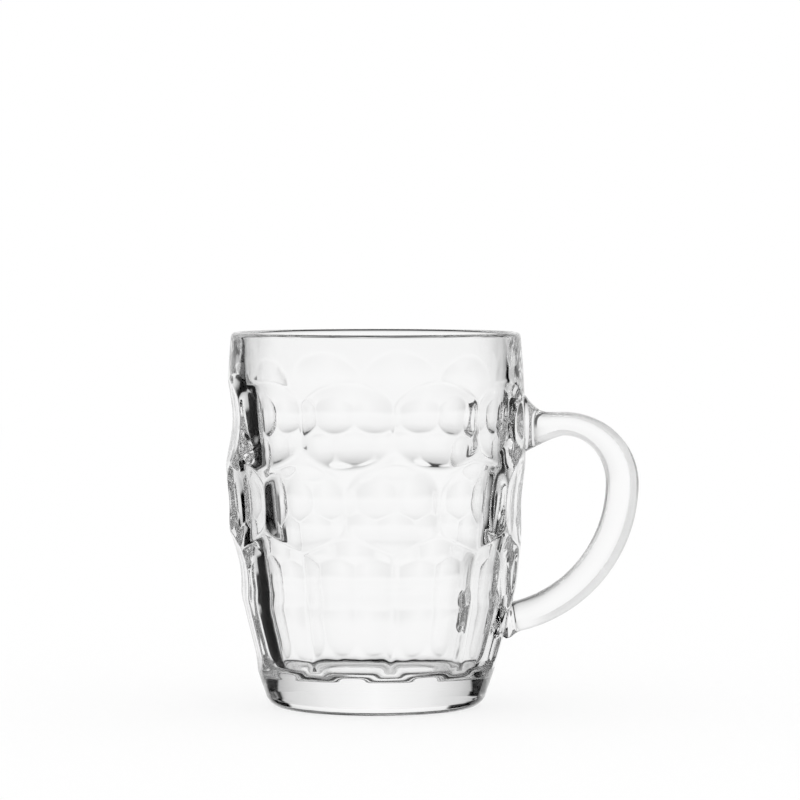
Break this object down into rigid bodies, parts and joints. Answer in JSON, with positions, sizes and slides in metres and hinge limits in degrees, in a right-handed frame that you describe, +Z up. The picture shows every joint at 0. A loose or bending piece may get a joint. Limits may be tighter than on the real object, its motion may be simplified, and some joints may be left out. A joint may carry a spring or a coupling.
{
  "type": "beer mug",
  "caption": "Clear glass beer mug with staggered rows of round dimples over tall flutes, a plain collar, a thick base and a solid curved side handle.",
  "frame": {"origin": "on the mug's axis, in the plane of the ring it stands on", "axes": "+Z up along the mug's axis, +X out through the handle, +Y completes a right-handed frame"},
  "size_m": [0.1391, 0.1004, 0.1255],
  "materials": {
    "body_glass": "clear fire-polished glass",
    "handle_glass": "clear fire-polished glass"
  },
  "bodies": {
    "root": {"mug_body": "body_glass", "handle": "handle_glass"}
  },
  "joints": []
}
